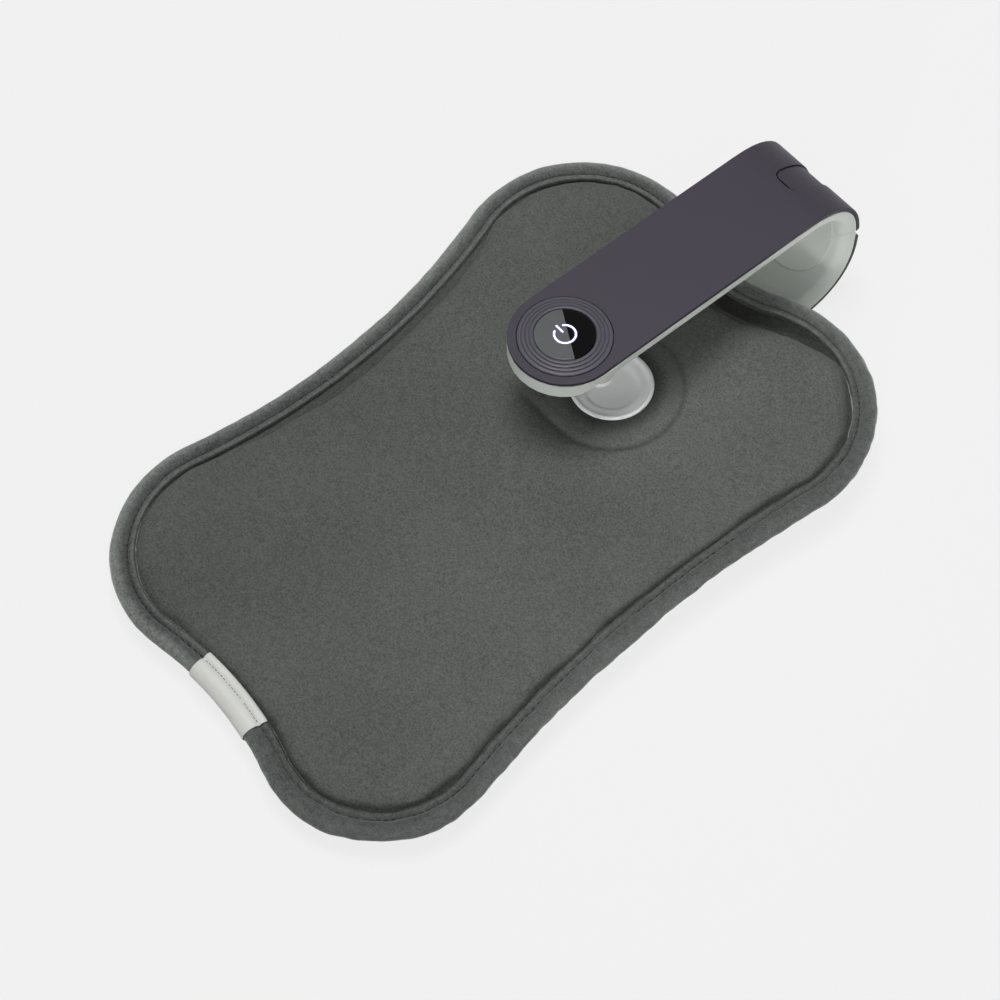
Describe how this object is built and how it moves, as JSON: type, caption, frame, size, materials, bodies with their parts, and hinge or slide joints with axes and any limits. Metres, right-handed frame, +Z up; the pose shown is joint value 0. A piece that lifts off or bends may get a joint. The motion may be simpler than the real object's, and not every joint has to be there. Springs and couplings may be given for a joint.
{
  "type": "electric hot water bottle",
  "caption": "Flat velvet-covered electric hot water bottle with a round charging port, and the sprung hairpin charging clip with a power button that grips its short edge.",
  "frame": {"origin": "on the table under the middle of the bag, in the flat of the bag's underside", "axes": "+Y along the clip's arm from the bag towards the clip's bend, +Z up from the table, +X across the clip"},
  "size_m": [0.1925, 0.3058, 0.0619],
  "materials": {
    "velvet": "dark grey crushed velvet",
    "binding_velvet": "dark grey velvet strip",
    "satin": "pale woven satin",
    "bladder_film": "smooth film",
    "port_plastic": "pale grey, satin",
    "contact_brass": "plated",
    "seal_rubber": "matt",
    "cage_plastic": "matt",
    "steel": "bright",
    "cover_plastic": "aubergine grey, satin",
    "liner_plastic": "pale grey green, satin",
    "window_black": "gloss",
    "clear_plastic": "clear",
    "board_green": "solder mask",
    "switch_black": "matt",
    "wire_insulation": "smooth"
  },
  "bodies": {
    "bag": {"cover_top_panel": "velvet", "cover_bottom_panel": "velvet", "edge_binding": "binding_velvet", "side_label": "satin", "water_bladder": "bladder_film", "port_socket": "port_plastic", "port_contact_left": "contact_brass", "port_contact_right": "contact_brass", "port_gasket": "seal_rubber", "port_lock_nut": "cage_plastic", "heater_cage_lower": "cage_plastic", "heater_cage_upper": "cage_plastic", "heating_element": "steel", "terminal_strip_left": "contact_brass", "terminal_strip_right": "contact_brass", "thermostat": "switch_black", "thermal_fuse": "clear_plastic"},
    "clip_base": {"lower_cover": "cover_plastic", "lower_liner": "liner_plastic", "grip_pad": "seal_rubber", "foot_pad_front": "seal_rubber", "foot_pad_rear": "seal_rubber", "lower_screw_front": "steel", "lower_screw_rear": "steel", "hinge_pin": "steel", "hinge_spring_left": "steel", "hinge_spring_right": "steel"},
    "upper_jaw": {"upper_cover": "cover_plastic", "upper_liner": "liner_plastic", "hinge_guard": "liner_plastic", "upper_screw_left": "steel", "upper_screw_right": "steel", "contact_post": "liner_plastic", "contact_pin_left": "contact_brass", "contact_pin_right": "contact_brass", "circuit_board": "board_green", "status_led": "clear_plastic", "switch_left": "switch_black", "switch_right": "switch_black", "inlet_housing": "cover_plastic", "inlet_pin_left": "contact_brass", "inlet_pin_right": "contact_brass", "supply_wire_left": "wire_insulation", "supply_wire_right": "wire_insulation"},
    "button": {"power_button": "cover_plastic", "button_window": "window_black", "light_guide": "clear_plastic", "button_spring": "steel"}
  },
  "joints": [
    {"name": "clip_pull_off", "type": "slide", "parent": "bag", "child": "clip_base", "axis": [0, 1, 0], "range_m": [0, 0.16]},
    {"name": "jaw_hinge", "type": "hinge", "parent": "clip_base", "child": "upper_jaw", "pos_m": [-0.0077, 0.1637, 0.0328], "axis": [-1, 0, 0], "range_deg": [0, 30], "stiffness_Nm_per_rad": 0.5, "springref_deg": -45.84},
    {"name": "button_press", "type": "slide", "parent": "upper_jaw", "child": "button", "axis": [0, 0, -1], "range_m": [0, 0.0008], "stiffness_N_per_m": 800, "springref_m": -0.001, "deforming": ["button_spring"]}
  ]
}
